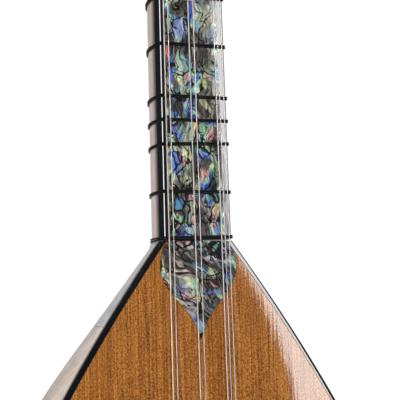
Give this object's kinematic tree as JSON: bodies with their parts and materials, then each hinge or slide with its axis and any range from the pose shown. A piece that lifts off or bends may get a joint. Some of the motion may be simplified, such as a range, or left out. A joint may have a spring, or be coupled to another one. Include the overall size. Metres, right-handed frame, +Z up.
{
  "type": "short-neck baglama",
  "caption": "Short-neck long-bodied lute with a deep ribbed bowl, flat cedar soundboard, black shell-inlaid fingerboard, tied movable frets, paired courses and T-shaped friction pegs.",
  "frame": {"origin": "middle of the nut's lower edge, in the plane of the fingerboard's top, where a hanger holds the neck below the head", "axes": "+Z runs up the neck towards the head, the soundboard faces -Y, +X is to the right of someone facing the soundboard"},
  "size_m": [0.2558, 0.1655, 0.9797],
  "materials": {
    "maple": "gloss lacquer",
    "bowl_wood": "gloss lacquer",
    "cedar": "satin lacquer",
    "ebony": "black, polished",
    "shell": "polished shell pattern",
    "nylon": "black nylon line",
    "steel": "drawn wire",
    "bone": "polished bone",
    "spruce": "bare wood",
    "rosewood": "oiled"
  },
  "bodies": {
    "instrument": {"rib_1": "bowl_wood", "rib_2": "bowl_wood", "rib_3": "bowl_wood", "rib_4": "bowl_wood", "rib_5": "bowl_wood", "rib_6": "bowl_wood", "rib_7": "bowl_wood", "rib_8": "bowl_wood", "rib_9": "bowl_wood", "string_1": "steel", "string_2": "steel", "string_3": "steel", "string_4": "steel", "string_5": "steel", "string_6": "steel", "string_7": "steel", "neck_block": "maple", "neck": "maple", "head": "maple", "tail_block": "spruce", "tail_cap": "rosewood", "tailpiece": "rosewood", "lining_left": "spruce", "lining_right": "spruce", "brace_upper": "spruce", "brace_lower": "spruce", "soundboard": "cedar", "binding": "ebony", "spade_inlay": "shell", "fingerboard": "ebony", "fingerboard_inlay": "shell", "nut": "bone"},
    "peg_1": {"peg_1": "rosewood"},
    "peg_2": {"peg_2": "rosewood"},
    "peg_3": {"peg_3": "rosewood"},
    "peg_4": {"peg_4": "rosewood"},
    "peg_5": {"peg_5": "rosewood"},
    "peg_6": {"peg_6": "rosewood"},
    "peg_7": {"peg_7": "rosewood"},
    "bridge": {"bridge": "bone"},
    "fret_01": {"fret_01": "nylon"},
    "fret_02": {"fret_02": "nylon"},
    "fret_03": {"fret_03": "nylon"},
    "fret_04": {"fret_04": "nylon"},
    "fret_05": {"fret_05": "nylon"},
    "fret_06": {"fret_06": "nylon"},
    "fret_07": {"fret_07": "nylon"},
    "fret_08": {"fret_08": "nylon"},
    "fret_09": {"fret_09": "nylon"},
    "fret_10": {"fret_10": "nylon"},
    "fret_11": {"fret_11": "nylon"},
    "fret_12": {"fret_12": "nylon"},
    "fret_13": {"fret_13": "nylon"},
    "fret_14": {"fret_14": "nylon"},
    "fret_15": {"fret_15": "nylon"},
    "fret_16": {"fret_16": "nylon"},
    "fret_17": {"fret_17": "nylon"},
    "fret_18": {"fret_18": "nylon"},
    "fret_19": {"fret_19": "nylon"}
  },
  "joints": [
    {"name": "peg_1_turn", "type": "hinge", "parent": "instrument", "child": "peg_1", "pos_m": [-0.0103, 0.02106, 0.05], "axis": [-1, 0, 0], "continuous": true},
    {"name": "peg_2_turn", "type": "hinge", "parent": "instrument", "child": "peg_2", "pos_m": [-0.01005, 0.02882, 0.094], "axis": [-1, 0, 0], "continuous": true},
    {"name": "peg_3_turn", "type": "hinge", "parent": "instrument", "child": "peg_3", "pos_m": [-0.0098, 0.03657, 0.138], "axis": [-1, 0, 0], "continuous": true},
    {"name": "peg_4_turn", "type": "hinge", "parent": "instrument", "child": "peg_4", "pos_m": [0.003, 0.00718, 0.028], "axis": [0, -0.9848, 0.1736], "continuous": true},
    {"name": "peg_5_turn", "type": "hinge", "parent": "instrument", "child": "peg_5", "pos_m": [0.003, 0.01494, 0.072], "axis": [0, -0.9848, 0.1736], "continuous": true},
    {"name": "peg_6_turn", "type": "hinge", "parent": "instrument", "child": "peg_6", "pos_m": [0.003, 0.0227, 0.116], "axis": [0, -0.9848, 0.1736], "continuous": true},
    {"name": "peg_7_turn", "type": "hinge", "parent": "instrument", "child": "peg_7", "pos_m": [0.003, 0.03045, 0.16], "axis": [0, -0.9848, 0.1736], "continuous": true},
    {"name": "bridge_slide", "type": "slide", "parent": "instrument", "child": "bridge", "axis": [0, 0, 1], "range_m": [-0.004, 0.004]},
    {"name": "fret_01_slide", "type": "slide", "parent": "instrument", "child": "fret_01", "axis": [0, 0, 1], "range_m": [-0.0025, 0.0025]},
    {"name": "fret_02_slide", "type": "slide", "parent": "instrument", "child": "fret_02", "axis": [0, 0, 1], "range_m": [-0.0025, 0.0025]},
    {"name": "fret_03_slide", "type": "slide", "parent": "instrument", "child": "fret_03", "axis": [0, 0, 1], "range_m": [-0.0025, 0.0025]},
    {"name": "fret_04_slide", "type": "slide", "parent": "instrument", "child": "fret_04", "axis": [0, 0, 1], "range_m": [-0.0025, 0.0025]},
    {"name": "fret_05_slide", "type": "slide", "parent": "instrument", "child": "fret_05", "axis": [0, 0, 1], "range_m": [-0.0025, 0.0025]},
    {"name": "fret_06_slide", "type": "slide", "parent": "instrument", "child": "fret_06", "axis": [0, 0, 1], "range_m": [-0.0025, 0.0025]},
    {"name": "fret_07_slide", "type": "slide", "parent": "instrument", "child": "fret_07", "axis": [0, 0, 1], "range_m": [-0.0025, 0.0025]},
    {"name": "fret_08_slide", "type": "slide", "parent": "instrument", "child": "fret_08", "axis": [0, 0, 1], "range_m": [-0.0025, 0.0025]},
    {"name": "fret_09_slide", "type": "slide", "parent": "instrument", "child": "fret_09", "axis": [0, 0, 1], "range_m": [-0.0025, 0.0025]},
    {"name": "fret_10_slide", "type": "slide", "parent": "instrument", "child": "fret_10", "axis": [0, 0, 1], "range_m": [-0.0025, 0.0025]},
    {"name": "fret_11_slide", "type": "slide", "parent": "instrument", "child": "fret_11", "axis": [0, 0, 1], "range_m": [-0.0025, 0.0025]},
    {"name": "fret_12_slide", "type": "slide", "parent": "instrument", "child": "fret_12", "axis": [0, 0, 1], "range_m": [-0.0025, 0.0025]},
    {"name": "fret_13_slide", "type": "slide", "parent": "instrument", "child": "fret_13", "axis": [0, 0, 1], "range_m": [-0.0025, 0.0025]},
    {"name": "fret_14_slide", "type": "slide", "parent": "instrument", "child": "fret_14", "axis": [0, 0, 1], "range_m": [-0.0025, 0.0025]},
    {"name": "fret_15_slide", "type": "slide", "parent": "instrument", "child": "fret_15", "axis": [0, 0, 1], "range_m": [-0.0025, 0.0025]},
    {"name": "fret_16_slide", "type": "slide", "parent": "instrument", "child": "fret_16", "axis": [0, 0, 1], "range_m": [-0.0025, 0.0025]},
    {"name": "fret_17_slide", "type": "slide", "parent": "instrument", "child": "fret_17", "axis": [0, 0, 1], "range_m": [-0.0025, 0.0025]},
    {"name": "fret_18_slide", "type": "slide", "parent": "instrument", "child": "fret_18", "axis": [0, 0, 1], "range_m": [-0.0025, 0.0025]},
    {"name": "fret_19_slide", "type": "slide", "parent": "instrument", "child": "fret_19", "axis": [0, 0, 1], "range_m": [0, 0.0025]}
  ]
}
